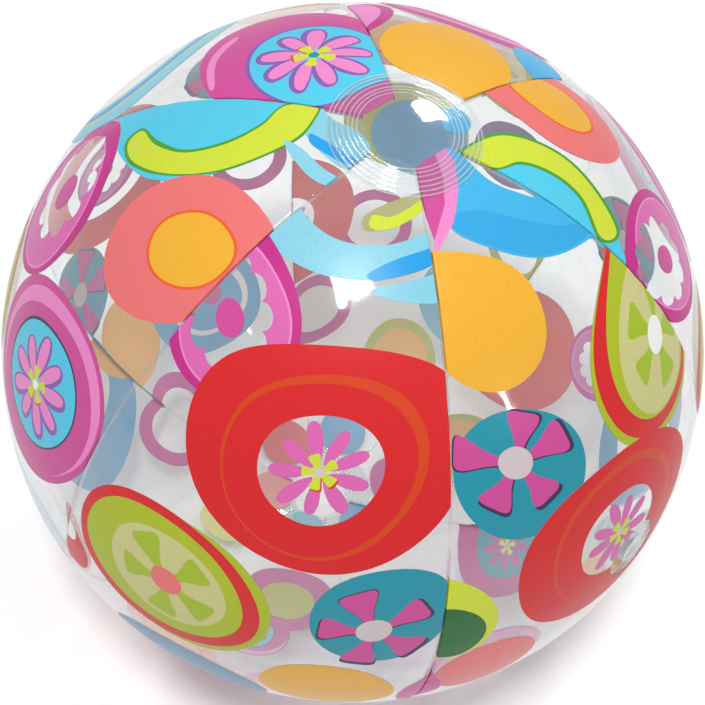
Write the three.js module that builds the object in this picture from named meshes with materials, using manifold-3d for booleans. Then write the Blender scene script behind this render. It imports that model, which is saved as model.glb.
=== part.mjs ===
// Inflatable beach ball: six welded film panels, two round end patches and a push-in valve.
// Millimetres. The origin is the ball's centre, +Z runs through the upper end patch, and the
// valve faces +X, a little above the equator.

import * as THREE from 'three';
import { mergeVertices } from 'three/addons/utils/BufferGeometryUtils.js';
import Module from 'manifold-3d';

const wasm = await Module();
wasm.setup();

const degree = Math.PI / 180;

// Film and ball
const ballRadius = 170;
const filmThickness = 0.25;
const gap = 0.3;
const facet = 7.5 * degree;
const turnFacets = 48;
const facetSag = ballRadius * (1 - Math.cos(facet / 2) ** 2);

// Panels: lens-shaped gores, welded edge to edge with the weld flange turned inwards
const panelCount = 6;
const panelAngle = 360 * degree / panelCount;
const firstPanelAzimuth = -5 * degree;
const flangeDepth = 2.5;
const tipPolarAngle = 6 * degree;

// End patches, pressed over the openings where the panel tips meet
const patchRadius = 31;
const patchThickness = 0.3;
const patchFlatRadius = 10;
const patchFacets = 36;
const weldRingRadii = [21, 25, 29];
const weldRingWidth = 1;
const weldRingHeight = 0.25;

// Valve. Heights are along its own axis, from the ball's surface, and negative is inside.
const valvePolarAngle = 76.5 * degree;
const valveFacets = 32;
const filmHoleRadius = 15;
const collarOuterRadius = 19;
const collarInnerRadius = 14;
const collarThickness = 0.8;
const wallThickness = 0.6;
const stemRadius = 6;
const boreRadius = 4.5;
const lipRadius = 7;
const lipHeight = 1.5;
const mouthHeight = -2.4;
const stemLength = 14;
const strapHingeRadius = 10.5;
const strapWidth = 4;
const strapThickness = 0.8;
const plugHeadThickness = 1.8;
const plugShankRadius = 4.2;
const plugTipRadius = 3.5;
const plugShankLength = 5;
const pullTabLength = 3;
const pullTabThickness = 1.2;
const flapRadius = 5.4;
const flapThickness = 0.6;

const clearFilm = { color: 0xe8f4f6, roughness: 0.08, metalness: 0, transparent: true, opacity: 0.45 };
const clearVinyl = { color: 0xdfeef2, roughness: 0.15, metalness: 0, transparent: true, opacity: 0.6 };
const panelColours = [0xd9463f, 0xe8a33d, 0x49b8e0, 0xb9cc3a, 0xd9559f, 0x8fd0e0];

// A closed three.js geometry as a manifold solid: shared corners merged, empty triangles dropped.
function solid(geometry) {
  const bare = geometry.clone();
  bare.deleteAttribute('normal');
  bare.deleteAttribute('uv');
  const merged = mergeVertices(bare, 1e-3);
  const index = merged.index.array;
  const corners = [];
  for (let i = 0; i < index.length; i += 3) {
    const [a, b, c] = [index[i], index[i + 1], index[i + 2]];
    if (a !== b && b !== c && c !== a) corners.push(a, b, c);
  }
  return new wasm.Manifold(new wasm.Mesh({
    numProp: 3,
    vertProperties: new Float32Array(merged.attributes.position.array),
    triVerts: new Uint32Array(corners),
  }));
}

function geometryOf(body) {
  const mesh = body.getMesh();
  const geometry = new THREE.BufferGeometry();
  geometry.setAttribute('position', new THREE.BufferAttribute(mesh.vertProperties.slice(), 3));
  geometry.setIndex(new THREE.BufferAttribute(mesh.triVerts.slice(), 1));
  geometry.computeVertexNormals();
  return geometry;
}

function named(name, body, look) {
  const mesh = new THREE.Mesh(geometryOf(body), new THREE.MeshStandardMaterial(look));
  mesh.name = name;
  return mesh;
}

// A solid turned about Z from [radius, height] points that run anticlockwise round the section.
function turned(profile, facets, startAngle = 0) {
  const points = profile.map(([radius, height]) => new THREE.Vector2(radius, height));
  points.push(points[0].clone());
  const geometry = new THREE.LatheGeometry(points, facets, startAngle);
  geometry.rotateX(Math.PI / 2);
  return solid(geometry);
}

// A flat [x, y] outline raised along Z from bottom to top.
function raised(outline, bottom, top) {
  const shape = new THREE.Shape(outline.map(([x, y]) => new THREE.Vector2(x, y)));
  const geometry = new THREE.ExtrudeGeometry(shape, { depth: top - bottom, bevelEnabled: false });
  geometry.translate(0, 0, bottom);
  return solid(geometry);
}

function slab(x0, x1, width, bottom, top) {
  const half = width / 2;
  return raised([[x0, -half], [x1, -half], [x1, half], [x0, half]], bottom, top);
}

// Points of a circle about the origin, from one polar angle to another.
function arc(radius, from, to) {
  const count = Math.max(1, Math.round(Math.abs(to - from) / facet));
  return Array.from({ length: count + 1 }, (_, i) => {
    const polar = from + (to - from) * i / count;
    return [radius * Math.sin(polar), radius * Math.cos(polar)];
  });
}

// ---- Panels ----

// The whole film sphere, with facet corners on the seams.
function filmSphere() {
  const outside = arc(ballRadius, Math.PI, 0).map(([r, z]) => [Math.max(r, 0), z]);
  const inside = arc(ballRadius - filmThickness, 0, Math.PI).map(([r, z]) => [Math.max(r, 0), z]);
  return turned([...outside, ...inside], turnFacets, Math.PI / 2 - panelAngle / 2);
}

// Everything between two seam planes, outside the straight cut across the panel's tips.
function panelWedge() {
  const tipDistance = ballRadius * Math.sin(tipPolarAngle) * Math.cos(panelAngle / 2);
  const farDistance = ballRadius * 1.2;
  const seamOffset = gap / 2 / Math.cos(panelAngle / 2);
  const halfWidth = (x) => x * Math.tan(panelAngle / 2) - seamOffset;
  const outline = [
    [tipDistance, -halfWidth(tipDistance)],
    [farDistance, -halfWidth(farDistance)],
    [farDistance, halfWidth(farDistance)],
    [tipDistance, halfWidth(tipDistance)],
  ];
  return raised(outline, -ballRadius - 1, ballRadius + 1);
}

// The weld flange along one seam: a thin curved strip in the seam plane, on the given side.
function weldFlange(side) {
  const outerEdge = arc(ballRadius - filmThickness / 2, facet, Math.PI - facet);
  const innerEdge = arc(ballRadius - filmThickness - flangeDepth, Math.PI - facet, facet);
  const near = gap / 2;
  const strip = raised([...outerEdge, ...innerEdge], near, near + filmThickness);
  const upright = strip.rotate([90, 0, 0]);
  const placed = side < 0 ? upright.mirror([0, 1, 0]) : upright;
  return placed.rotate([0, 0, side * panelAngle / 2 / degree]);
}

function panelBody() {
  return filmSphere().add(weldFlange(1)).add(weldFlange(-1)).intersect(panelWedge());
}

// ---- End patches ----

// A round patch of the ball's own curve with a small flat crown and three raised weld rings.
function endPatch() {
  const outside = ballRadius + gap + patchThickness;
  const inside = ballRadius + gap;
  const heightAt = (radius, r) => Math.sqrt(radius * radius - r * r);
  const ringPoints = weldRingRadii.flatMap((r) => {
    const foot = weldRingWidth / 2;
    const crest = foot - 0.15;
    return [[-foot, 0], [-crest, weldRingHeight], [crest, weldRingHeight], [foot, 0]].map(
      ([step, rise]) => [r + step, heightAt(outside, r + step) + rise],
    );
  });
  const middleRadius = (patchFlatRadius + weldRingRadii[0]) / 2;
  const top = [patchFlatRadius, middleRadius].map((r) => [r, heightAt(outside, r)]);
  const under = [patchRadius, weldRingRadii[1], middleRadius, patchFlatRadius].map(
    (r) => [r, heightAt(inside, r)],
  );
  const crown = [0, heightAt(outside, patchFlatRadius)];
  const crownUnder = [0, heightAt(inside, patchFlatRadius)];
  const rim = [patchRadius, heightAt(outside, patchRadius)];
  const clockwise = [crown, ...top, ...ringPoints, rim, ...under, crownUnder];
  return turned(clockwise.reverse(), patchFacets);
}

// ---- Valve, in its own frame: its axis is +Z, and heights start at the ball's surface ----

// The collar lies under the flats of the faceted film, and follows the same curve.
const collarOutside = ballRadius - facetSag - filmThickness - gap;
const collarInside = collarOutside - collarThickness;

// How far a sphere of the given radius lies below the ball's top at a distance from the axis.
function sphereHeight(radius, r) {
  return Math.sqrt(radius * radius - r * r) - ballRadius;
}

function valveCollar() {
  return turned([
    [collarInnerRadius, sphereHeight(collarInside, collarInnerRadius)],
    [collarOuterRadius, sphereHeight(collarInside, collarOuterRadius)],
    [collarOuterRadius, sphereHeight(collarOutside, collarOuterRadius)],
    [collarInnerRadius, sphereHeight(collarOutside, collarInnerRadius)],
  ], valveFacets);
}

// The thin wall that folds as the stem is pulled out: a cone from the collar down to the stem.
function foldingWall() {
  const rimHeight = sphereHeight(collarInside, collarInnerRadius);
  const footHeight = mouthHeight - stemLength + 3;
  const outer = collarInnerRadius - gap;
  const inner = stemRadius + gap;
  return turned([
    [inner, footHeight],
    [inner + wallThickness, footHeight],
    [outer, rimHeight - wallThickness],
    [outer, rimHeight],
    [outer - 1.5, rimHeight],
    [inner, footHeight + 1.5],
  ], valveFacets);
}

// The stem: a tube with a lip at its mouth and a small lug under the strap's hinge.
function valveStem() {
  const foot = mouthHeight - stemLength;
  const tube = turned([
    [boreRadius, foot],
    [stemRadius, foot],
    [stemRadius, mouthHeight - lipHeight],
    [lipRadius, mouthHeight - lipHeight],
    [lipRadius, mouthHeight],
    [boreRadius, mouthHeight],
  ], valveFacets);
  const lug = slab(
    -strapHingeRadius + 0.2, -lipRadius + 0.5, strapWidth, mouthHeight - lipHeight, mouthHeight,
  );
  return tube.add(lug);
}

// The stopper: a flat head with a pull tab, and a shank that tapers so that it swings clear.
function valvePlug() {
  const underside = mouthHeight + gap;
  const tip = mouthHeight - plugShankLength;
  const stopper = turned([
    [0, tip],
    [plugTipRadius, tip],
    [plugShankRadius, mouthHeight - 1],
    [plugShankRadius, underside],
    [lipRadius, underside],
    [lipRadius, underside + plugHeadThickness],
    [0, underside + plugHeadThickness],
  ], valveFacets);
  const pullTab = slab(
    lipRadius - 0.5, lipRadius + pullTabLength, strapWidth + 1, underside, underside + pullTabThickness,
  );
  return stopper.add(pullTab);
}

function plugStrap() {
  const underside = mouthHeight + gap;
  return slab(-strapHingeRadius, -lipRadius - gap, strapWidth, underside, underside + strapThickness);
}

function valveFlap() {
  const top = mouthHeight - stemLength - gap;
  return turned([
    [0, top - flapThickness],
    [flapRadius, top - flapThickness],
    [flapRadius, top],
    [0, top],
  ], valveFacets);
}

// Puts a piece made in the valve's frame where the valve sits on the ball.
function atValve(mesh) {
  const direction = new THREE.Vector3(Math.sin(valvePolarAngle), 0, Math.cos(valvePolarAngle));
  mesh.position.copy(direction).multiplyScalar(ballRadius);
  mesh.rotation.y = valvePolarAngle;
  return mesh;
}

// ---- Assembly ----

const ball = new THREE.Group();
const panel = panelBody();
const holeCutter = turned([
  [0, ballRadius - 20],
  [filmHoleRadius, ballRadius - 20],
  [filmHoleRadius, ballRadius + 20],
  [0, ballRadius + 20],
], valveFacets).rotate([0, valvePolarAngle / degree, 0]);

for (let i = 0; i < panelCount; i += 1) {
  const azimuth = firstPanelAzimuth + i * panelAngle;
  const turnedPanel = panel.rotate([0, 0, azimuth / degree]);
  const body = i === 0 ? turnedPanel.subtract(holeCutter) : turnedPanel;
  ball.add(named(`panel_${i + 1}`, body, { ...clearFilm, color: panelColours[i] }));
}

const patch = endPatch();
ball.add(named('top_patch', patch, clearVinyl));
ball.add(named('bottom_patch', patch.rotate([180, 0, 0]), clearVinyl));

ball.add(atValve(named('valve_collar', valveCollar(), clearVinyl)));
ball.add(atValve(named('valve_folding_wall', foldingWall(), clearVinyl)));
ball.add(atValve(named('valve_stem', valveStem(), clearVinyl)));
ball.add(atValve(named('valve_flap', valveFlap(), clearVinyl)));
ball.add(atValve(named('valve_plug', valvePlug(), clearVinyl)));
ball.add(atValve(named('plug_strap', plugStrap(), clearVinyl)));

export default ball;
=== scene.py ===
"""Inflatable beach ball: the looks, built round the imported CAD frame.

Six printed film panels, two clear end patches and a push-in valve. Lengths are metres, and millimetres in
the valve's own frame. The print is laid out flat on each panel in degrees: a runs across from the panel's
centre line and p down from the top pole.
"""

import math

import bpy
import numpy as np
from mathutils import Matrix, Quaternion, Vector
from mathutils.geometry import delaunay_2d_cdt

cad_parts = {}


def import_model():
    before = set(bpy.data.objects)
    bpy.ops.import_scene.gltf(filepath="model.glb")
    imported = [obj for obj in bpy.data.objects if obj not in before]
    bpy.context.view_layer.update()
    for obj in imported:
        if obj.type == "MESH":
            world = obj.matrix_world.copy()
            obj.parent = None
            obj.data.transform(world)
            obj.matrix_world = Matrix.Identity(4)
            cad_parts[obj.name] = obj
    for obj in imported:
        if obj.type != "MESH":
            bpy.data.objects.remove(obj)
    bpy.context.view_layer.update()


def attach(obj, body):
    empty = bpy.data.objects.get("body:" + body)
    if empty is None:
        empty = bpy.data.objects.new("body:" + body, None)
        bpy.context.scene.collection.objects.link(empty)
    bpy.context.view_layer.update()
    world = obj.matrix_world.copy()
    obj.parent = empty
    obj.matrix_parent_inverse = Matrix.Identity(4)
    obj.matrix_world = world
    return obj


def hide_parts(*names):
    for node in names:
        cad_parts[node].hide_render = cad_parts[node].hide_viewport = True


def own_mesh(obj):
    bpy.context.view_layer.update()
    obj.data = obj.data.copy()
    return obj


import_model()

MM = 0.001
BALL_RADIUS_MM = 170
BALL_RADIUS = BALL_RADIUS_MM * MM
DEGREE_ARC = BALL_RADIUS * math.pi / 180

# Panels
FIRST_AZIMUTH = -5.0
HALF_ANGLE = 30.0
TIP_ANGLE = 6.0
TIP_EDGE = BALL_RADIUS * math.sin(math.radians(TIP_ANGLE)) * math.cos(math.radians(HALF_ANGLE))
FILM_THICKNESS = 0.25 * MM
SEAM_GAP = 0.28 * MM
CREASE_RADIUS = 0.55 * MM
FIN_DEPTH = 2.5 * MM
SEAM_DIP = 0.55 * MM
SEAM_DIP_WIDTH = 7 * MM
PUCKER_DEPTH = 0.34 * MM
PUCKER_WIDTH = 9 * MM
PUCKER_FALL = 1.4
# Waves that make up the puckers: radians of wave from pole to equator, phase, share
PUCKER_WAVES = ((118, 0.4, 0.4), (83, 2.1, 0.35), (171, 4.0, 0.25))
# The shift that makes room for the crease fades out over this width
SEAM_FADE = 6 * MM
# Degrees from a pole where dips and puckers start, and degrees over which they grow
TIP_SMOOTH = 5
TIP_FADE = 8

# Mesh of the flat panels. Insets from the seam are millimetres, the rest degrees or square degrees
SEAM_STEP = 0.75
SUPPORT_INSETS = (0.9, 2, 3.5, 5.5, 8.5, 12)
GRID_STEP = 2.0
GRID_MARGIN = 5
OUTLINE_STEP = 0.5
MERGE_DISTANCE = 1e-4
SMALLEST_TRIANGLE = 1e-8

# End patches
PATCH_RADIUS = 31 * MM
PATCH_LIFT = 0.3 * MM
PATCH_THICKNESS = 0.3 * MM
# Raised weld rings: radius and height in millimetres
WELD_RINGS = ((19.2, 0.3), (21, 0.45), (22.8, 0.3), (25, 0.45), (27, 0.3), (29, 0.45))
WELD_RING_WIDTH = 0.36 * MM
WELD_HALF_BAND = 0.3
PATCH_RIM = 30.6
UNDERSIDE_SHARE = 0.8
PATCH_ROWS = 125
PATCH_STEPS = 144

# Valve in millimetres, along its own axis from the ball's surface, negative inside
VALVE_POLAR = math.radians(76.5)
FILM_HOLE_RADIUS = 15 * MM
MOUTH = -2.4
STEM_LENGTH = 14.0
HINGE_X = -10.5
BORE_RADIUS = 4.5
STEM_RADIUS = 6
LIP_RADIUS = 7
LIP_DEPTH = 1.5
COLLAR_HOLE = 14
COLLAR_RADIUS = 19
COLLAR_THICKNESS = 0.8
COLLAR_SINK = 0.55
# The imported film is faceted, and the middle of a facet lies this far inside the round ball
FACET_HALF_ANGLE = 3.75
FACET_SAG = BALL_RADIUS_MM * (1 - math.cos(math.radians(FACET_HALF_ANGLE)) ** 2)
PLUG_GAP = 0.3
FLAP_GAP = 0.3
FLAP_THICKNESS = 0.6
VALVE_STEPS = 72

# Surface waves and grain
WAVE_SCALE = 55
WAVE_HEIGHT = 0.25 * MM
SPECKLE_SCALE = 900
CLOUD_SCALE = 90
INK_DARK = 0.84
INK_LIGHT = 0.91
TRANSPARENT_LAYERS = 32

# Camera and lights
CAMERA_DISTANCE = 3.7 * BALL_RADIUS
CAMERA_AZIMUTH = math.radians(-57.5)
CAMERA_ELEVATION = math.radians(58.5)
CAMERA_ROLL = math.radians(-13.5)
CAMERA_LENS = 63.9
FLOOR_HEIGHT = -0.1704
FLOOR_HALF = 6.0
SOFTBOX_DISTANCE = 2.2
# Name, azimuth, elevation, size, power, roll
SOFTBOXES = (
    ("overhead", -78, 77, (0.4, 0.35), 32, 57),
    ("back", 117, 42, (0.24, 0.3), 8, 30),
    ("strip", 4, 34, (0.06, 0.5), 2.5, 0),
)


# ---------------------------------------------------------------- colours

# Ink: colour from outside, colour of its reverse, as seen from inside the ball
INKS = {
    "red": ("DC2C30", "D07272"),
    "vermilion": ("DA4A26", "D07860"),
    "magenta": ("D2529C", "BE6C9C"),
    "deep_magenta": ("C8348C", "C06AA4"),
    "pink": ("F08CCC", "DCA0C8"),
    "sky": ("46B6E8", "78A8C8"),
    "turquoise": ("56CCEA", "88BCCC"),
    "teal": ("2C98AC", "6C9CAC"),
    "azure": ("2CA2E6", "6C9CC8"),
    "brook": ("3AAAE4", "72A4C8"),
    "ice": ("8CD0E4", "B4D8E0"),
    "lime": ("D2E040", "CCCC80"),
    "moss": ("B2C22C", "B4B878"),
    "leaf": ("A9C22C", "B4B870"),
    "straw": ("D2CE8C", "D4D0A4"),
    "green": ("4EA238", "7C9C6C"),
    "forest": ("2C7038", "6C8C68"),
    "denim": ("6E9CBE", "78A4C0"),
    "orange": ("F2B43A", "DCB078"),
    "rose": ("E06CB4", "CC88B4"),
    "salmon": ("EE7878", "DCA09A"),
    "ember": ("EE6430", "BC7860"),
    "violet": ("8A62B4", "8C7CA0"),
    "slate": ("403C5C", "6C6878"),
    "mist": ("D6C8CA", "BCB4B4"),
    "white": ("F8F8F4", "D8D8D4"),
}
CLEAR = "clear"


def linear(hex_colour, shade=1.0):
    """A hex sRGB colour as linear RGBA."""
    parts = [int(hex_colour[i:i + 2], 16) / 255 for i in (0, 2, 4)]
    parts = [v / 12.92 if v <= 0.04045 else ((v + 0.055) / 1.055) ** 2.4 for v in parts]
    return (*[v * shade for v in parts], 1.0)


def new_material(name):
    material = bpy.data.materials.new(name)
    material.use_nodes = True
    tree = material.node_tree
    tree.nodes.clear()
    output = tree.nodes.new("ShaderNodeOutputMaterial")
    return material, tree, output


def noise(tree, scale, detail):
    place = tree.nodes.new("ShaderNodeTexCoord")
    texture = tree.nodes.new("ShaderNodeTexNoise")
    texture.inputs["Scale"].default_value = scale
    texture.inputs["Detail"].default_value = detail
    tree.links.new(place.outputs["Object"], texture.inputs["Vector"])
    return texture


def film_wave(tree):
    """Slow waves of the film that break up its reflections."""
    texture = noise(tree, WAVE_SCALE, 2.0)
    node = tree.nodes.new("ShaderNodeBump")
    node.inputs["Strength"].default_value = 1.0
    node.inputs["Distance"].default_value = WAVE_HEIGHT
    tree.links.new(texture.outputs["Fac"], node.inputs["Height"])
    return node


def ink_material(name, hex_colour, gloss, shade):
    """Screen ink under clear film: slightly uneven colour, a soft body and a glossy skin."""
    material, tree, output = new_material(name)
    shader = tree.nodes.new("ShaderNodeBsdfPrincipled")
    ramp = tree.nodes.new("ShaderNodeValToRGB")
    ramp.color_ramp.elements[0].position = 0.3
    ramp.color_ramp.elements[0].color = linear(hex_colour, INK_DARK * shade)
    ramp.color_ramp.elements[1].position = 0.7
    ramp.color_ramp.elements[1].color = linear(hex_colour, INK_LIGHT * shade)
    speckle = noise(tree, SPECKLE_SCALE, 4.0)
    wave = film_wave(tree)
    shader.inputs["Roughness"].default_value = 0.36
    shader.inputs["Specular IOR Level"].default_value = 0.14 * gloss
    shader.inputs["Coat Weight"].default_value = 0.08 * gloss
    shader.inputs["Coat Roughness"].default_value = 0.22
    tree.links.new(speckle.outputs["Fac"], ramp.inputs["Fac"])
    tree.links.new(ramp.outputs["Color"], shader.inputs["Base Color"])
    tree.links.new(wave.outputs["Normal"], shader.inputs["Normal"])
    tree.links.new(wave.outputs["Normal"], shader.inputs["Coat Normal"])
    tree.links.new(shader.outputs["BSDF"], output.inputs["Surface"])
    return material


def clear_material(name, tint, haze, edge, gloss_roughness=0.06):
    """Clear vinyl: see-through, a little milky, and glossier and denser at a slant."""
    material, tree, output = new_material(name)
    through = tree.nodes.new("ShaderNodeBsdfTransparent")
    through.inputs["Color"].default_value = linear(tint)
    milk = tree.nodes.new("ShaderNodeBsdfDiffuse")
    milk.inputs["Color"].default_value = linear("EEF3F4")
    gloss = tree.nodes.new("ShaderNodeBsdfGlossy")
    gloss.inputs["Roughness"].default_value = gloss_roughness
    gloss.inputs["Color"].default_value = linear("FFFFFF")
    wave = film_wave(tree)
    cloud = noise(tree, CLOUD_SCALE, 3.0)
    facing = tree.nodes.new("ShaderNodeLayerWeight")
    facing.inputs["Blend"].default_value = 0.5
    slant = tree.nodes.new("ShaderNodeMath")
    slant.operation = "POWER"
    slant.inputs[1].default_value = 4.0
    haze_share = tree.nodes.new("ShaderNodeMapRange")
    haze_share.inputs["From Min"].default_value = 0.25
    haze_share.inputs["From Max"].default_value = 0.75
    haze_share.inputs["To Min"].default_value = haze * 0.7
    haze_share.inputs["To Max"].default_value = haze * 1.3
    haze_slant = tree.nodes.new("ShaderNodeMath")
    haze_slant.operation = "MULTIPLY_ADD"
    haze_slant.inputs[1].default_value = edge
    gloss_share = tree.nodes.new("ShaderNodeMath")
    gloss_share.operation = "MULTIPLY_ADD"
    gloss_share.inputs[1].default_value = 0.5
    gloss_share.inputs[2].default_value = 0.045
    body = tree.nodes.new("ShaderNodeMixShader")
    skin = tree.nodes.new("ShaderNodeMixShader")
    tree.links.new(wave.outputs["Normal"], gloss.inputs["Normal"])
    tree.links.new(facing.outputs["Facing"], slant.inputs[0])
    tree.links.new(cloud.outputs["Fac"], haze_share.inputs["Value"])
    tree.links.new(slant.outputs[0], haze_slant.inputs[0])
    tree.links.new(haze_share.outputs["Result"], haze_slant.inputs[2])
    tree.links.new(slant.outputs[0], gloss_share.inputs[0])
    tree.links.new(haze_slant.outputs[0], body.inputs["Fac"])
    tree.links.new(through.outputs[0], body.inputs[1])
    tree.links.new(milk.outputs[0], body.inputs[2])
    tree.links.new(gloss_share.outputs[0], skin.inputs["Fac"])
    tree.links.new(body.outputs[0], skin.inputs[1])
    tree.links.new(gloss.outputs[0], skin.inputs[2])
    tree.links.new(skin.outputs[0], output.inputs["Surface"])
    return material


FILM = clear_material("clear_film", "FCFDFD", 0.03, 0.2)
VINYL = clear_material("clear_vinyl", "F2F7FA", 0.06, 0.7)
PATCH = clear_material("patch_film", "FAFCFC", 0.012, 0.12)
WELD = clear_material("weld_ring", "F4F8F8", 0.22, 0.5, 0.12)
FRONT = {name: ink_material(f"ink_{name}", pair[0], 1.0, 1.0) for name, pair in INKS.items()}
BACK = {name: ink_material(f"reverse_{name}", pair[1], 0.35, 1.05) for name, pair in INKS.items()}
FRONT[CLEAR] = FILM
BACK[CLEAR] = FILM


# ---------------------------------------------------------------- flat shapes

def smooth_loop(points, steps=7):
    """A closed smooth curve through a few points."""
    points = np.array(points, float)
    before, after, beyond = np.roll(points, 1, 0), np.roll(points, -1, 0), np.roll(points, -2, 0)
    rows = []
    for i in range(len(points)):
        t = np.linspace(0, 1, steps, endpoint=False)[:, None]
        m0, m1 = (after[i] - before[i]) / 2, (beyond[i] - points[i]) / 2
        rows.append(
            (2 * t**3 - 3 * t**2 + 1) * points[i] + (t**3 - 2 * t**2 + t) * m0
            + (3 * t**2 - 2 * t**3) * after[i] + (t**3 - t**2) * m1
        )
    return np.concatenate(rows)


def round_outline(x, y, rx, ry, wobble):
    """A circle or ellipse drawn by hand."""
    count = max(20, int(2 * math.pi * max(rx, ry) / OUTLINE_STEP))
    t = np.linspace(0, 2 * math.pi, count, endpoint=False)
    phase = x * 0.7 + y * 0.37
    waves = np.sin(2 * t + phase) + 0.7 * np.sin(3 * t + 2 * phase) + 0.4 * np.sin(5 * t + phase)
    r = 1 + wobble * waves
    return np.stack([x + rx * r * np.cos(t), y + ry * r * np.sin(t)], 1)


def disc(ink, x, y, rx, ry=None, wobble=0.012):
    return [(ink, round_outline(x, y, rx, ry or rx, wobble))]


def shape(ink, *points):
    return [(ink, smooth_loop(points))]


def facet(ink, *points):
    """A shape with straight edges."""
    return [(ink, np.array(points, float))]


def turned(points, x, y, angle, size):
    """Points of a figure lying along +a from the origin, turned about (x, y)."""
    c, s = math.cos(angle) * size, math.sin(angle) * size
    points = np.array(points, float)
    return np.stack([x + points[:, 0] * c - points[:, 1] * s, y + points[:, 0] * s + points[:, 1] * c], 1)


def spread(count, phase):
    """Petal directions round a flower, a little uneven."""
    return [phase + 2 * math.pi * i / count + 0.09 * math.sin(3.1 * i + 2 * phase) for i in range(count)]


def petals(ink, x, y, r, figure, directions):
    """Petals round (x, y), each a little different in length."""
    made = []
    for i, direction in enumerate(directions):
        size = r * (1 + 0.06 * math.sin(2.3 * i + directions[0]))
        made.append((ink, turned(figure, x, y, direction, size)))
    return made


SLIM_PETAL = smooth_loop([(0.16, 0), (0.36, 0.1), (0.66, 0.15), (0.92, 0.11), (1, 0), (0.92, -0.11),
                          (0.66, -0.15), (0.36, -0.1)], 4)
SLIM_SHADOW = SLIM_PETAL * [1, 1.4]
BROAD_PETAL = smooth_loop([(0.2, 0.05), (0.5, 0.14), (0.84, 0.3), (0.98, 0.26), (1, 0), (0.98, -0.26),
                           (0.84, -0.3), (0.5, -0.14), (0.2, -0.05)], 4)
STUB = smooth_loop([(0.1, 0.1), (0.5, 0.2), (0.92, 0.3), (1, 0), (0.92, -0.3), (0.5, -0.2),
                    (0.1, -0.1)], 4)


def daisy(x, y, r, phase=0.0, ink="magenta", shadow=None, eye="mist"):
    """Nine slim petals round a small lime flower with five stubby petals."""
    around = spread(9, phase)
    made = petals(shadow, x + 0.18, y + 0.2, r * 1.07, SLIM_SHADOW, around) if shadow else []
    made += petals(ink, x, y, r, SLIM_PETAL, around)
    middle = spread(5, phase + 0.3)
    made += petals("vermilion", x + 0.3, y + 0.3, r * 0.36, STUB, middle[:2])
    made += petals("lime", x, y, r * 0.37, STUB, middle)
    return made + disc(eye, x, y, r * 0.1)


def red_ring(x, y, rx, ry, hole, phase=0.0):
    """The big ring with a thin brighter band and a loose daisy in its clear middle."""
    hx, hy, hr = hole
    made = disc("red", x, y, rx, ry, 0.018)
    made += disc("vermilion", hx + 0.15, hy, hr * 1.65)
    made += disc("red", hx - 0.25, hy + 0.4, hr * 1.54)
    made += disc(CLEAR, hx, hy, hr, hr * 0.97)
    return made + daisy(hx, hy, hr * 0.82, phase, "rose")


def lime_flower(outer, ring, inner, pale, r, phase=0.0, eye="white"):
    """A lime disc, a red ring thicker on one side, and a pale disc with five broad petals.

    Each disc is (a, p, radius across, radius down); r is the reach of the petals.
    """
    made = disc("moss", *outer) + disc("red", *ring) + disc("moss", *inner) + disc("straw", *pale)
    made += petals("leaf", pale[0] + 0.2, pale[1], r, BROAD_PETAL, spread(5, phase))
    return made + disc(eye, pale[0] + 0.2, pale[1], r * 0.33)


def lime_group(x, y, r, phase=0.0):
    """A lime flower with its discs at their usual sizes."""
    return lime_flower((x + 0.8, y + 0.6, r, r), (x, y, r * 0.96, r * 0.96),
                       (x + 0.6, y + 0.2, r * 0.84, r * 0.85), (x + 0.6, y + 0.4, r * 0.68, r * 0.68),
                       r * 0.5, phase)


def teal_flower(x, y, r, phase=0.0, fx=0.0, fy=0.0, reach=0.9, around=None):
    """A teal disc with five broad outlined petals; the flower may sit off the middle."""
    around = around or spread(5, phase)
    made = disc("teal", x, y, r)
    made += petals("slate", x + fx + 0.15, y + fy + 0.25, r * reach * 1.06, BROAD_PETAL, around)
    made += petals("magenta", x + fx, y + fy, r * reach, BROAD_PETAL, around)
    return made + disc("mist", x + fx, y + fy, r * 0.25)


def salmon_eye(x, y, rx, ry, ix, iy, ir):
    """A salmon disc with an orange one inside it, edged in a brighter red."""
    made = disc("salmon", x, y, rx, ry, 0.016)
    made += disc("ember", ix, iy, ir * 1.04, ir * 1.05, 0.02)
    return made + disc("orange", ix, iy, ir * 0.97, ir * 0.98, 0.02)


def cloud_ring(x, y, r, hx, hy, hr, dot):
    """A two-tone ring round a clear scalloped middle with one dot."""
    made = disc("deep_magenta", x, y, r)
    made += disc("pink", x + r * 0.06, y + r * 0.04, r * 0.84)
    made += disc("rose", x + r * 0.06, y + r * 0.04, r * 0.81)
    t = np.linspace(0, 2 * math.pi, 120, endpoint=False)
    scallop = hr * (0.84 + 0.24 * np.sqrt(np.abs(np.sin(5 * t + 0.5))))
    made.append((CLEAR, np.stack([hx + scallop * np.cos(t), hy + scallop * np.sin(t)], 1)))
    return made + disc("magenta", dot[0], dot[1], dot[2])


def daisy_disc(x, y, r, dx, dy, dr, phase=0.0, eye="sky"):
    """A pink ring round a turquoise disc with a shadowed daisy."""
    made = disc("magenta", x, y, r)
    made += disc("pink", x + 0.5, y - 0.6, r * 0.91)
    made += disc("magenta", x + 1.0, y + 0.4, r * 0.84)
    made += disc("slate", dx, dy, dr * 1.04)
    made += disc("turquoise", dx + 0.1, dy, dr)
    return made + daisy(dx, dy, dr * 0.78, phase, "pink", "violet", eye)


def plain_ring(ink, x, y, r, hole, filling=CLEAR):
    return disc(ink, x, y, r) + disc(filling, x, y, hole)


# ---------------------------------------------------------------- the print of each panel

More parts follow.
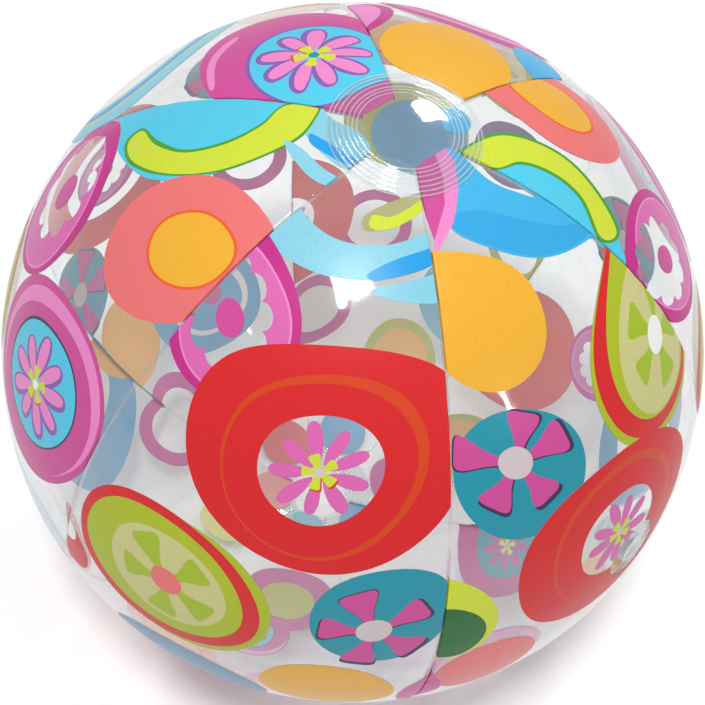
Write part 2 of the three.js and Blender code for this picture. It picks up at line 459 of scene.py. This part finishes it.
def print_1():
    """Panel with the valve."""
    made = shape("sky", (2.6, 5.6), (0.8, 8.4), (-1.8, 11.6), (-4.8, 15.2), (-2.4, 19), (3, 24), (10, 27.5),
                 (18, 30), (20, 26), (10.5, 20), (8, 18), (4.5, 13), (3.7, 8))
    made += shape("brook", (-3.6, 13.6), (0.4, 14.8), (4.4, 19), (9, 23.4), (16.4, 28.8), (9.8, 27.1),
                  (3, 23.7), (-2.2, 18.8), (-4.6, 15.4))
    made += facet("magenta", (-3, 5), (0.6, 5), (-1, 8.5), (-3.4, 12), (-7.9, 16.4), (-6, 10))
    made += facet("pink", (0.6, 5), (3.0, 5), (1.8, 8), (-0.5, 11), (-4, 14.6), (-9.8, 19), (-7.9, 16.4),
                  (-3.4, 12), (-1, 8.5))
    made += disc("orange", -9, 27.5, 9.2, 9.5, 0.02)
    made += lime_flower((15.3, 45.6, 13.8, 13.7), (15.6, 45, 13.2, 13.1), (17, 44.6, 11.7, 11.6),
                        (16.8, 46.2, 9.7, 9.6), 7.1, 0.35)
    made += teal_flower(-12.6, 49.3, 9.6, 0, -0.5, -2.4, 0.8, [-1.03, -0.14, 1.16, 2.33, 3.58])
    made += red_ring(0.7, 69, 18, 15.2, (1, 68.3, 7.7), 0.3)
    made += disc("lime", -28, 71.5, 7.4, 9) + disc("forest", -28, 74.2, 5.6, 6)
    made += disc("salmon", -21, 87.3, 8.2, 8.2)
    made += shape("magenta", (-33, 82), (-28.4, 88), (-27.5, 95), (-33, 101))
    made += plain_ring("magenta", 16.5, 137, 12, 7.4, "teal") + daisy(16.5, 137, 5.4)
    made += cloud_ring(-9, 117, 10.5, -9, 117, 6.5, (-9, 117, 2.2))
    made += disc("orange", 13, 107, 9.5, 9)
    made += daisy_disc(-8, 146, 10.5, -7.6, 146, 6.8, 0.2)
    return made + disc("sky", 2.2, 169, 4.6)


def print_2():
    made = shape("turquoise", (-6.6, 12.6), (-4.2, 16), (-4.6, 21), (-7.5, 27), (-12.5, 32), (-18, 36.6),
                 (-24, 38), (-21, 30), (-12, 19))
    made += shape("green", (-4.3, 7.4), (-0.7, 11.8), (-0.5, 17), (-2.6, 23.3), (-6.7, 28.5), (-13, 33.6),
                  (-15.5, 30.6), (-9.4, 25.6), (-6.5, 20.8), (-5.5, 16), (-7, 12.3))
    made += shape("lime", (-4.2, 8), (-1.2, 12), (-1, 17), (-3, 23), (-7, 28), (-13, 33), (-14.8, 30.6),
                  (-9, 26), (-6, 21), (-5, 16), (-6.5, 12.5))
    made += shape("sky", (1, 3.5), (5.4, 4.5), (5, 8), (1.5, 9.5), (-1, 7.5))
    made += salmon_eye(8.3, 27, 10.5, 11.6, 9, 27, 6.2)
    made += cloud_ring(-12.5, 45.5, 10.9, -13.8, 44.5, 6.8, (-13.3, 45, 2.3))
    made += daisy_disc(11, 60, 15.5, 11.6, 59.5, 9.6, 0.5)
    made += lime_group(-17, 71, 11, 0.1)
    made += plain_ring("sky", -15, 104, 14, 9)
    made += teal_flower(17, 89, 9, 0.2)
    made += red_ring(17, 127, 14, 13.5, (17, 127, 5.6), 0.2)
    made += cloud_ring(4.5, 112.5, 7.6, 4.5, 112.5, 4.8, (4.5, 112.5, 1.4))
    made += disc("orange", -14, 130, 9, 8.5)
    made += plain_ring("magenta", -24.5, 137, 12, 7.4, "teal")
    return made + plain_ring("leaf", 3, 148, 7, 5.4, "orange") + disc("magenta", 0, 164, 5)


def print_3():
    made = disc("orange", -1, 20, 10, 9.8, 0.02)
    made += disc("deep_magenta", -0.5, 45, 14.5) + disc("pink", -0.2, 45, 12.2)
    made += disc("magenta", 0.4, 45.4, 11)
    made += disc(CLEAR, -0.5, 45, 8.6) + disc("sky", -14.5, 33.5, 5.5)
    made += disc("deep_magenta", 16, 29, 6.4, 8.6) + disc("pink", 17, 29, 5.6, 7.6)
    made += lime_group(-13, 69, 12, 0.9)
    made += salmon_eye(14, 68, 11, 11, 14.6, 67.5, 7)
    made += disc("leaf", 7.5, 95, 12.5, 11.5) + disc("sky", 4.6, 97, 9.6, 9.8)
    made += plain_ring("violet", -14, 92, 8, 5.2, "straw")
    made += plain_ring("leaf", -22, 111, 7, 5)
    made += plain_ring("magenta", 8.5, 120, 8, 5.6)
    made += shape("lime", (0, 110), (6, 114), (11, 119), (9, 122), (3, 117))
    made += red_ring(27, 121, 14, 15, (27, 121, 6), 0.5)
    made += disc("turquoise", -14, 129, 9)
    made += plain_ring("magenta", 15, 140, 7.5, 5, "white")
    return made + plain_ring("leaf", -6.4, 146, 8.4, 6.4, "orange") + disc("sky", 0, 165, 5)


def print_4():
    made = disc("magenta", 0.3, 21.4, 15.4, 16.8) + disc("violet", -0.7, 19.2, 10.4)
    made += disc("turquoise", -0.8, 19, 9.9) + daisy(-0.7, 19.5, 7.6, 0.2, "pink", "violet", "teal")
    made += shape("pink", (2, 34.3), (7.5, 32.6), (12, 29), (12.8, 29.8), (8, 34), (2.2, 35.6))
    made += disc("ice", 8, 57, 17) + disc("straw", 8, 57, 14) + disc("azure", 8, 57, 13.4)
    made += disc("ice", 8.2, 57, 12) + disc("white", 8.4, 57, 10.5)
    made += disc("orange", -17, 50, 8.5, 9.5)
    made += teal_flower(-16, 77, 9.5, 0.4)
    made += disc("red", 11, 91.5, 16.5, 15.5, 0.02) + disc(CLEAR, 10.5, 91, 10.6, 10)
    made += cloud_ring(10.5, 91, 7.6, 10.5, 91, 4.8, (10.5, 91, 1.6))
    made += plain_ring("magenta", -20, 104, 8, 5.4)
    made += teal_flower(24, 111, 8.6, 0.3) + disc("orange", 17.5, 128, 8.2, 8.6)
    made += disc("sky", -2, 131, 12.5, 12) + disc("white", -3, 131.5, 8.8, 8.2)
    made += disc("sky", -3, 132, 7.4, 6.8) + disc("magenta", -4, 131.5, 2.4)
    made += shape("sky", (30, 108), (24.5, 122), (21, 137), (12, 148), (18, 151), (27, 130), (32, 115))
    return made + plain_ring("magenta", 16.5, 148, 9.5, 6.6) + disc("red", -1.5, 167, 5.2)


def print_5():
    made = shape("turquoise", (-6.5, 13), (-2, 13.2), (0, 20), (0.2, 28), (-3, 35), (-8, 39.5), (-15, 43.5),
                 (-28, 48), (-26, 40), (-17, 30), (-10, 20))
    made += shape("ice", (-6.8, 12.3), (-3.2, 9.6), (0, 6), (5, 5.6), (7, 8), (5, 10.4), (2.6, 11.4),
                  (-1.2, 13), (-4, 14.4), (-5.8, 14.2))
    made += shape("green", (-6.6, 11.9), (-1.7, 13.2), (0.3, 19), (0.3, 26), (-2.8, 33.3), (-7.8, 39),
                  (-12.8, 41), (-14, 38.4), (-9.5, 34.6), (-5.4, 29.8), (-4.2, 24), (-5.4, 19.2),
                  (-8.4, 16.6))
    made += shape("lime", (-6.4, 12.2), (-2, 13.5), (0, 19), (0, 26), (-3, 33), (-8, 38.5), (-12.4, 40.4),
                  (-13.4, 38.2), (-9, 35), (-5, 30), (-3.7, 24), (-5, 19), (-8, 16.5))
    made += shape("azure", (-1.5, 12.5), (0.6, 10.4), (3.8, 8.4), (5, 9.3), (2.6, 11), (0, 12.7))
    made += shape("ice", (-1.4, 16), (0.8, 13.8), (4.1, 12.6), (7.2, 11.6), (7.4, 13.4), (5.3, 14.6),
                  (2.7, 15.2))
    made += salmon_eye(9, 34, 10.8, 11.9, 9.8, 32.8, 5.7)
    made += cloud_ring(-12.3, 54.3, 11.8, -12.8, 52.8, 7.4, (-11.8, 53, 2.6))
    made += daisy_disc(12, 67.5, 15.7, 12.7, 66.8, 9.6, 0.1, "white")
    made += lime_group(-15, 78.5, 11, 0.3)
    made += disc("sky", -11, 124, 15, 14) + disc("white", -14, 121, 10, 9)
    made += shape("red", (9, 117.5), (17, 113), (22, 105), (27, 97), (27, 108), (21, 117), (14, 118.5))
    made += shape("sky", (9, 92), (20, 98), (24, 101), (20, 108), (14, 104))
    made += disc("orange", -29, 128, 7.6, 9)
    made += plain_ring("magenta", -15.5, 148, 9.5, 6.6)
    made += teal_flower(-14, 102, 8.5, 0.6)
    made += disc("salmon", 14, 134, 8.5, 8) + disc("lime", 6, 158, 5, 5)
    return made + disc("salmon", -1.5, 170, 4.6)


def print_6():
    made = shape("ice", (-16, 17), (-8, 18.4), (-3, 18.7), (3, 17.4), (8, 15), (13, 12), (14, 18),
                 (9, 19.8), (3, 22.2), (-3, 23.6), (-9, 24.2), (-18, 24.6))
    made += shape("azure", (2.4, 21.4), (5.5, 18.7), (10.5, 16.9), (12.5, 17.4), (10, 19.6), (5.5, 21.4),
                  (3.2, 22.2))
    made += shape("ice", (3.4, 23.6), (7, 21.8), (13.5, 20.4), (14, 24), (9, 24.4))
    made += shape("lime", (0.2, 15.2), (0.4, 13.8), (2.6, 13.4), (5.2, 11), (7.4, 9), (8, 10.4), (6, 12.6),
                  (3.2, 15), (1.2, 15.7))
    made += cloud_ring(-13.1, 34, 10.5, -13.2, 34, 6.3, (-12.5, 34.5, 2.2))
    made += red_ring(5.5, 46.4, 18.8, 16, (5, 47.3, 7.9), 0.1)
    made += lime_flower((-9.9, 74.9, 14.7, 13.2), (-11.7, 74.7, 15, 13.1), (-12.1, 74.4, 13.1, 11.2),
                        (-10.9, 74.2, 9.3, 8.7), 7.6, 0.35, "salmon")
    made += teal_flower(19.5, 69.5, 9.7, 0.5, -0.7, 2.2, 0.8)
    made += disc("orange", 15.2, 91, 10, 9.4, 0.02)
    made += disc("denim", -6.5, 100, 13, 9)
    made += disc("red", -31.5, 86, 6.8, 6.5) + disc("white", -29.5, 82, 2, 2.4)
    made += shape("magenta", (34, 84), (28.5, 88), (26.2, 94), (28, 101), (34, 104))
    made += salmon_eye(-13, 120, 9.6, 9.6, -12.6, 119.6, 6)
    made += plain_ring("deep_magenta", 12, 118, 10.5, 7.6, "pink")
    made += daisy_disc(-4, 140, 10, -3.6, 139.6, 6.4, 0.4)
    return made + plain_ring("magenta", 2.4, 151.5, 8.8, 5.2, "leaf") + disc("turquoise", 0, 171, 3.6)


PRINTS = (print_1, print_2, print_3, print_4, print_5, print_6)


# ---------------------------------------------------------------- film panels

SEAM_BEND = CREASE_RADIUS * math.pi / 4
BEYOND_SEAM = (FIN_DEPTH - CREASE_RADIUS + SEAM_BEND) / DEGREE_ARC


def seam_line(inset, step):
    """The line at a distance inside the panel's right seam, as flat points from top to bottom."""
    p = np.arange(TIP_ANGLE, 180 - TIP_ANGLE + step / 2, step)
    return np.stack([HALF_ANGLE * np.sin(np.radians(p)) - inset / DEGREE_ARC, p], 1)


def tip_line():
    """The straight cut across the panel's top tip, left to right."""
    turn = np.radians(np.linspace(-HALF_ANGLE, HALF_ANGLE, 13))
    p = np.arcsin(TIP_EDGE / (BALL_RADIUS * np.cos(turn)))
    return np.stack([np.degrees(turn) * np.sin(p), np.degrees(p)], 1)


def gore_outline():
    """The whole flat blank: the panel with a weld flange along both long edges."""
    right = seam_line(0, 1.0) + [BEYOND_SEAM, 0]
    top = tip_line()
    bottom = top[::-1] * [1, -1] + [0, 180]
    left = right[::-1] * [-1, 1]
    return np.concatenate([top, right, bottom, left])


def shaped(flat, centre):
    """Flat points of a panel as points on the blown-up ball, with its seams turned in."""
    a, p = flat[:, 0], np.radians(flat[:, 1])
    ring = BALL_RADIUS * np.sin(p)
    side = np.where(a < 0, -1.0, 1.0)
    s = np.radians(HALF_ANGLE) * ring - np.abs(a) * DEGREE_ARC
    phi = np.clip((SEAM_BEND - s) / CREASE_RADIUS, 0, math.pi / 2)
    shift = SEAM_GAP + CREASE_RADIUS - SEAM_BEND
    fade = np.clip(1 - s / SEAM_FADE, 0, 1) ** 2
    across = np.where(s > SEAM_BEND, s + shift * fade, SEAM_GAP + CREASE_RADIUS * (1 - np.sin(phi)))
    down = CREASE_RADIUS * (1 - np.cos(phi)) + np.maximum(-SEAM_BEND - s, 0)
    inside = np.maximum(s, 0)
    near_tip = np.clip((np.degrees(np.minimum(p, math.pi - p)) - TIP_SMOOTH) / TIP_FADE, 0, 1)
    ripple = np.zeros_like(a)
    for waves, phase, share in PUCKER_WAVES:
        ripple += share * (0.5 + 0.5 * np.sin(waves * p / math.pi * 2 + phase + side + centre * 0.05))
    down = down + SEAM_DIP * np.exp(-(inside / SEAM_DIP_WIDTH) ** 2) * near_tip
    down = down + PUCKER_DEPTH * ripple ** 1.5 * np.exp(-inside / PUCKER_WIDTH * PUCKER_FALL) * near_tip
    radius = BALL_RADIUS - down
    turn = side * (math.radians(HALF_ANGLE) - across / ring) + math.radians(centre)
    x = radius * np.sin(p) * np.cos(turn)
    y = radius * np.sin(p) * np.sin(turn)
    return np.stack([x, y, radius * np.cos(p)], 1)


def outward(flat, centre):
    """The surface's outward direction at flat points, by small steps along and across."""
    step = 0.02
    across = shaped(flat + [step, 0], centre) - shaped(flat - [step, 0], centre)
    along = shaped(flat + [0, step], centre) - shaped(flat - [0, step], centre)
    normal = np.cross(along, across)
    return normal / np.linalg.norm(normal, axis=1)[:, None]


def inside_loop(points, loop):
    """Which points lie inside a closed outline."""
    low, high = loop.min(0), loop.max(0)
    found = np.zeros(len(points), bool)
    near = np.nonzero(((points > low) & (points < high)).all(1))[0]
    if not len(near):
        return found
    x, y = points[near, 0][:, None], points[near, 1][:, None]
    x0, y0 = loop[:, 0], loop[:, 1]
    x1, y1 = np.roll(x0, -1), np.roll(y0, -1)
    crosses = (y0 > y) != (y1 > y)
    with np.errstate(divide="ignore", invalid="ignore"):
        at = x0 + (y - y0) * (x1 - x0) / (y1 - y0)
    found[near] = (crosses & (x < at)).sum(1) % 2 == 1
    return found


def support_points():
    """Extra mesh points: rows close together along the seams and a wide grid between."""
    rows = []
    for inset in SUPPORT_INSETS:
        line = seam_line(inset * MM, SEAM_STEP)
        line = line[line[:, 0] > 0.4]
        rows += [line, line * [-1, 1]]
    a, p = np.meshgrid(np.arange(-26.0, 26.1, GRID_STEP), np.arange(8.0, 172.1, GRID_STEP))
    grid = np.stack([a.ravel(), p.ravel()], 1)
    grid = grid[np.abs(grid[:, 0]) < HALF_ANGLE * np.sin(np.radians(grid[:, 1])) - GRID_MARGIN]
    return np.concatenate([*rows, grid])


def valve_hole(centre):
    """The round hole for the valve, as a flat outline."""
    axis = np.array([math.sin(VALVE_POLAR), 0, math.cos(VALVE_POLAR)])
    side = np.array([0, 1.0, 0])
    up = np.cross(axis, side)
    t = np.linspace(0, 2 * math.pi, 72, endpoint=False)[:, None]
    opening = math.asin(FILM_HOLE_RADIUS / BALL_RADIUS)
    points = axis * math.cos(opening) + (side * np.cos(t) + up * np.sin(t)) * math.sin(opening)
    polar = np.arccos(points[:, 2])
    turn = np.degrees(np.arctan2(points[:, 1], points[:, 0])) - centre
    return np.stack([turn * np.sin(polar), np.degrees(polar)], 1)


def triangulate(outline, loops, seams, support):
    """Flat triangles whose edges follow the outline, the seam lines and every printed shape."""
    points, edges = [], []
    for loop, closed in [(outline, True)] + [(x, True) for x in loops] + [(x, False) for x in seams]:
        first = len(points)
        points.extend(loop.tolist())
        last = len(points) - 1
        edges.extend((i, i + 1) for i in range(first, last))
        if closed:
            edges.append((last, first))
    points.extend(support.tolist())
    vectors = [Vector(p) for p in points]
    made = delaunay_2d_cdt(vectors, edges, [], 0, MERGE_DISTANCE, False)
    flat = np.array([tuple(v) for v in made[0]], float)
    faces = np.array([tuple(f) for f in made[2]], int)
    return flat, faces


def film_panel(number):
    """One printed panel: each triangle takes the ink of the last shape that covers it."""
    centre = FIRST_AZIMUTH + 60 * (number - 1)
    motifs = PRINTS[number - 1]()
    outline = gore_outline()
    hole = [valve_hole(centre)] if number == 1 else []
    seams = []
    for inset in (1, 0.35, -0.35, -1):
        line = seam_line(inset * SEAM_BEND, SEAM_STEP)
        seams += [line, line * [-1, 1]]
    loops = [loop for _, loop in motifs] + hole
    flat, faces = triangulate(outline, loops, seams, support_points())
    middle = flat[faces].mean(1)
    keep = inside_loop(middle, outline)
    for loop in hole:
        keep &= ~inside_loop(middle, loop)
    u, v = flat[faces[:, 1]] - flat[faces[:, 0]], flat[faces[:, 2]] - flat[faces[:, 0]]
    keep &= np.abs(u[:, 0] * v[:, 1] - u[:, 1] * v[:, 0]) > SMALLEST_TRIANGLE
    faces, middle = faces[keep], middle[keep]
    names = [CLEAR] + sorted({ink for ink, _ in motifs if ink != CLEAR})
    ink_of = np.zeros(len(faces), int)
    for ink, loop in motifs:
        ink_of[inside_loop(middle, loop)] = names.index(ink)
    used = np.unique(faces)
    renumber = np.full(len(flat), -1)
    renumber[used] = np.arange(len(used))
    flat, faces = flat[used], renumber[faces]
    return film_mesh(f"film_panel_{number}", flat, faces, ink_of, names, centre)


def film_mesh(name, flat, faces, ink_of, names, centre):
    """The panel as a closed sheet: printed outside, the ink's reverse inside, and a narrow rim."""
    skin = shaped(flat, centre)
    normal = outward(flat, centre)
    corners = skin[faces]
    facing = np.cross(corners[:, 1] - corners[:, 0], corners[:, 2] - corners[:, 0])
    flipped = (facing * normal[faces].mean(1)).sum(1) < 0
    faces = np.where(flipped[:, None], faces[:, ::-1], faces)
    count = len(skin)
    lining = skin - normal * FILM_THICKNESS
    pairs = np.concatenate([faces[:, [0, 1]], faces[:, [1, 2]], faces[:, [2, 0]]])
    known = {tuple(e) for e in pairs.tolist()}
    rim = [(b, a, a + count, b + count) for a, b in pairs.tolist() if (b, a) not in known]
    lists = faces.tolist() + (faces[:, ::-1] + count).tolist() + rim
    mesh = bpy.data.meshes.new(name)
    mesh.from_pydata(np.concatenate([skin, lining]).tolist(), [], lists)
    for ink in names:
        mesh.materials.append(FRONT[ink])
    for ink in names:
        mesh.materials.append(BACK[ink])
    slots = np.concatenate([ink_of, ink_of + len(names), np.zeros(len(rim), int)])
    mesh.polygons.foreach_set("material_index", slots.astype(np.int32))
    mesh.polygons.foreach_set("use_smooth", np.ones(len(lists), bool))
    mesh.update()
    mesh.normals_split_custom_set_from_vertices(np.concatenate([normal, -normal]).tolist())
    piece = bpy.data.objects.new(name, mesh)
    bpy.context.scene.collection.objects.link(piece)
    return piece


# ---------------------------------------------------------------- turned pieces

def add_piece(name, points, faces, material, body, *nodes, slot):
    mesh = bpy.data.meshes.new(name)
    mesh.from_pydata([tuple(p) for p in points], [], faces)
    mesh.materials.append(material)
    mesh.polygons.foreach_set("use_smooth", np.ones(len(faces), bool))
    mesh.update()
    piece = bpy.data.objects.new(name, mesh)
    bpy.context.scene.collection.objects.link(piece)
    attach(piece, body)
    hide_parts(*nodes)
    return piece


def rounded(profile, radius):
    """A closed profile with each corner cut to a small arc."""
    made = []
    profile = [np.array(p, float) for p in profile]
    for i, corner in enumerate(profile):
        before, after = profile[i - 1] - corner, profile[(i + 1) % len(profile)] - corner
        reach = min(radius, np.linalg.norm(before) * 0.4, np.linalg.norm(after) * 0.4)
        start = corner + before / np.linalg.norm(before) * reach
        end = corner + after / np.linalg.norm(after) * reach
        for t in (0, 0.25, 0.5, 0.75, 1):
            made.append((1 - t) ** 2 * start + 2 * t * (1 - t) * corner + t * t * end)
    return made


def turn_closed(profile, steps):
    """A ring: a closed [r, z] profile, anticlockwise, turned about Z. Millimetres."""
    points, faces = [], []
    n = len(profile)
    for k in range(steps):
        angle = 2 * math.pi * k / steps
        points += [(r * math.cos(angle), r * math.sin(angle), z) for r, z in profile]
        nxt = (k + 1) % steps
        faces += [(k * n + i, nxt * n + i, nxt * n + (i + 1) % n, k * n + (i + 1) % n) for i in range(n)]
    return points, faces


def turn_solid(profile, steps):
    """A solid: an open [r, z] profile from the axis at the bottom to the axis at the top."""
    points, faces = [(0, 0, profile[0][1]), (0, 0, profile[-1][1])], []
    inner = profile[1:-1]
    n = len(inner)
    for k in range(steps):
        angle = 2 * math.pi * k / steps
        points += [(r * math.cos(angle), r * math.sin(angle), z) for r, z in inner]
        a, b = 2 + k * n, 2 + (k + 1) % steps * n
        faces += [(0, b, a), (1, a + n - 1, b + n - 1)]
        faces += [(a + i, b + i, b + i + 1, a + i + 1) for i in range(n - 1)]
    return points, faces


def at_valve(points):
    """Points in the valve's frame, in millimetres, as points in the ball's frame, in metres."""
    x, y, z = np.array(points, float).T * MM
    c, s = math.cos(VALVE_POLAR), math.sin(VALVE_POLAR)
    return np.stack([x * c + (BALL_RADIUS + z) * s, y, -x * s + (BALL_RADIUS + z) * c], 1)


def end_patch(name, node, sign):
    """A round clear patch that follows the ball, with raised weld rings."""
    def rise(r):
        return sum(h * MM * math.exp(-((r - at * MM) / WELD_RING_WIDTH) ** 2) for at, h in WELD_RINGS)

    radii = np.linspace(0, PATCH_RADIUS, PATCH_ROWS)
    outer = BALL_RADIUS + PATCH_LIFT + PATCH_THICKNESS
    top = [(r, math.sqrt(outer**2 - r * r) + rise(r)) for r in radii]
    inner = outer - PATCH_THICKNESS
    under = [(r, math.sqrt(inner**2 - r * r) + rise(r) * UNDERSIDE_SHARE) for r in radii]
    points, faces = turn_solid(under + top[::-1], PATCH_STEPS)
    points = np.array(points) * [1, sign, sign]
    piece = add_piece(name, points, faces, PATCH, "ball", node, slot="clear_film")
    piece.data.materials.append(WELD)
    for face in piece.data.polygons:
        reach = math.hypot(*face.center[:2]) / MM
        if reach > PATCH_RIM or min(abs(reach - at) for at, _ in WELD_RINGS) < WELD_HALF_BAND:
            face.material_index = 1


def lens_height(radius, r):
    """Height of a sphere about the ball's centre, at r from the valve's axis, in the valve's frame."""
    return math.sqrt(radius * radius - r * r) - BALL_RADIUS_MM


def bar(x0, x1, width, z0, z1, steps=12):
    """A soft-edged strap along X, in the valve's frame."""
    section = rounded([(-width / 2, z0), (width / 2, z0), (width / 2, z1), (-width / 2, z1)], 0.35)
    points, faces = [], []
    n = len(section)
    for k in range(steps + 1):
        x = x0 + (x1 - x0) * k / steps
        points += [(x, y, z) for y, z in section]
    for k in range(steps):
        a, b = k * n, (k + 1) * n
        faces += [(a + i, a + (i + 1) % n, b + (i + 1) % n, b + i) for i in range(n)]
    faces += [tuple(reversed(range(n))), tuple(steps * n + i for i in range(n))]
    return points, faces


def joined(*parts):
    points, faces = [], []
    for more_points, more_faces in parts:
        start = len(points)
        points += list(more_points)
        faces += [tuple(i + start for i in f) for f in more_faces]
    return points, faces


def valve_piece(name, shell, body, node):
    points, faces = shell
    return add_piece(name, at_valve(points), faces, VINYL, body, node, slot="valve_vinyl")


COLLAR_OUTSIDE = BALL_RADIUS_MM - FACET_SAG - COLLAR_SINK
COLLAR_INSIDE = COLLAR_OUTSIDE - COLLAR_THICKNESS


def valve_collar():
    """A flat ring that follows the ball, just under the film."""
    radii = np.linspace(COLLAR_HOLE, COLLAR_RADIUS, 6)
    under = [(r, lens_height(COLLAR_INSIDE, r)) for r in radii]
    top = [(r, lens_height(COLLAR_OUTSIDE, r)) for r in radii[::-1]]
    valve_piece("valve_collar_ring", turn_closed(under + top, VALVE_STEPS), "ball", "valve_collar")


def valve_wall():
    """The cone between collar and stem, in one fixed shape, though the real one flattens as the stem is
    pulled out.
    """
    rim = lens_height(COLLAR_INSIDE, COLLAR_HOLE)
    foot = MOUTH - STEM_LENGTH + 3
    wall = rounded([(6.3, foot), (6.9, foot), (13.7, rim - 0.6), (13.7, rim), (12.2, rim),
                    (6.3, foot + 1.5)], 0.3)
    folding = valve_piece("valve_bellows", turn_closed(wall, VALVE_STEPS), "ball", "valve_folding_wall")
    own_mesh(folding)


def valve_stem():
    """The mouthpiece tube with its lip, and the tongue that the strap joins."""
    low, shoulder = MOUTH - STEM_LENGTH, MOUTH - LIP_DEPTH
    tube = rounded([(BORE_RADIUS, low), (STEM_RADIUS, low), (STEM_RADIUS, shoulder), (LIP_RADIUS, shoulder),
                    (LIP_RADIUS, MOUTH), (BORE_RADIUS, MOUTH)], 0.3)
    tongue = bar(HINGE_X + 0.2, -6.2, 4, shoulder, MOUTH)
    valve_piece("valve_tube", joined(turn_closed(tube, VALVE_STEPS), tongue), "stem", "valve_stem")


def valve_plug():
    """The plug with its domed head and pull tab, and the strap that keeps it on the stem."""
    under = MOUTH + PLUG_GAP
    plug = [(0, MOUTH - 5), (3.2, MOUTH - 5), (3.5, MOUTH - 4.7), (4.2, MOUTH - 1), (4.2, under),
            (6.7, under), (LIP_RADIUS, under + 0.3), (LIP_RADIUS, under + 1.5), (6.7, under + 1.8),
            (5.2, under + 1.8), (4.8, under + 1.5), (0, under + 1.4)]
    tab = bar(6.5, 10, 5, under, under + 1.2)
    valve_piece("valve_stopper", joined(turn_solid(plug, VALVE_STEPS), tab), "plug", "valve_plug")
    valve_piece("stopper_strap", bar(HINGE_X, -7.3, 4, under, under + 0.8), "plug", "plug_strap")


def valve_flap():
    """The non-return disc under the stem."""
    top = MOUTH - STEM_LENGTH - FLAP_GAP
    low = top - FLAP_THICKNESS
    flap = [(0, low), (5.1, low), (5.4, top - 0.4), (5.4, top - 0.2), (5.1, top), (0, top)]
    valve_piece("valve_flap_disc", turn_solid(flap, VALVE_STEPS), "flap", "valve_flap")


# ---------------------------------------------------------------- setting

def camera():
    across, height = math.cos(CAMERA_ELEVATION), math.sin(CAMERA_ELEVATION)
    back = Vector((across * math.cos(CAMERA_AZIMUTH), across * math.sin(CAMERA_AZIMUTH), height))
    data = bpy.data.cameras.new("camera")
    data.lens = CAMERA_LENS
    data.sensor_width = 36
    data.clip_start = 0.01
    data.clip_end = 20
    eye = bpy.data.objects.new("camera", data)
    bpy.context.scene.collection.objects.link(eye)
    eye.location = back * CAMERA_DISTANCE
    aim = (-back).to_track_quat("-Z", "Y").to_matrix().to_4x4()
    eye.rotation_mode = "QUATERNION"
    eye.rotation_quaternion = aim.to_quaternion() @ Quaternion((0, 0, 1), -CAMERA_ROLL)
    bpy.context.scene.camera = eye


def inner_fill():
    """A faint, wide glow that stands in for the light the film itself scatters inside the ball."""
    data = bpy.data.lights.new("inner_fill", "POINT")
    data.shadow_soft_size = 0.09
    data.energy = 0.5
    lamp = bpy.data.objects.new("inner_fill", data)
    bpy.context.scene.collection.objects.link(lamp)
    lamp.visible_camera = False
    lamp.visible_glossy = False
    lamp.visible_transmission = False


def softbox(name, azimuth, elevation, size, power, roll):
    """A flat light on a sphere round the ball, facing its centre."""
    data = bpy.data.lights.new(name, "AREA")
    data.shape = "RECTANGLE"
    data.size, data.size_y = size
    data.energy = power
    lamp = bpy.data.objects.new(name, data)
    bpy.context.scene.collection.objects.link(lamp)
    az, el = math.radians(azimuth), math.radians(elevation)
    way = Vector((math.cos(el) * math.cos(az), math.cos(el) * math.sin(az), math.sin(el)))
    lamp.location = way * SOFTBOX_DISTANCE
    lamp.rotation_mode = "QUATERNION"
    lamp.rotation_quaternion = (-way).to_track_quat("-Z", "Y") @ Quaternion((0, 0, 1), math.radians(roll))


def floor():
    data = bpy.data.meshes.new("floor")
    corners = ((-1, -1), (1, -1), (1, 1), (-1, 1))
    data.from_pydata([(x * FLOOR_HALF, y * FLOOR_HALF, FLOOR_HEIGHT) for x, y in corners], [], [(0, 1, 2, 3)])
    material, tree, output = new_material("studio_floor")
    shader = tree.nodes.new("ShaderNodeBsdfDiffuse")
    shader.inputs["Color"].default_value = (0.96, 0.96, 0.96, 1)
    tree.links.new(shader.outputs[0], output.inputs["Surface"])
    data.materials.append(material)
    sheet = bpy.data.objects.new("floor", data)
    bpy.context.scene.collection.objects.link(sheet)


def world():
    sky = bpy.data.worlds.new("studio")
    bpy.context.scene.world = sky
    sky.use_nodes = True
    background = sky.node_tree.nodes["Background"]
    background.inputs["Color"].default_value = (1, 1, 1, 1)
    background.inputs["Strength"].default_value = 0.42


for panel_number in range(1, 7):
    panel = film_panel(panel_number)
    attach(panel, "ball")
    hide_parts(f"panel_{panel_number}")
end_patch("top_patch_disc", "top_patch", 1)
end_patch("bottom_patch_disc", "bottom_patch", -1)
valve_collar()
valve_wall()
valve_stem()
valve_plug()
valve_flap()

camera()
floor()
world()
for lamp_setting in SOFTBOXES:
    softbox(*lamp_setting)
inner_fill()
bpy.context.scene.view_settings.view_transform = "Standard"
bpy.context.scene.cycles.transparent_max_bounces = TRANSPARENT_LAYERS
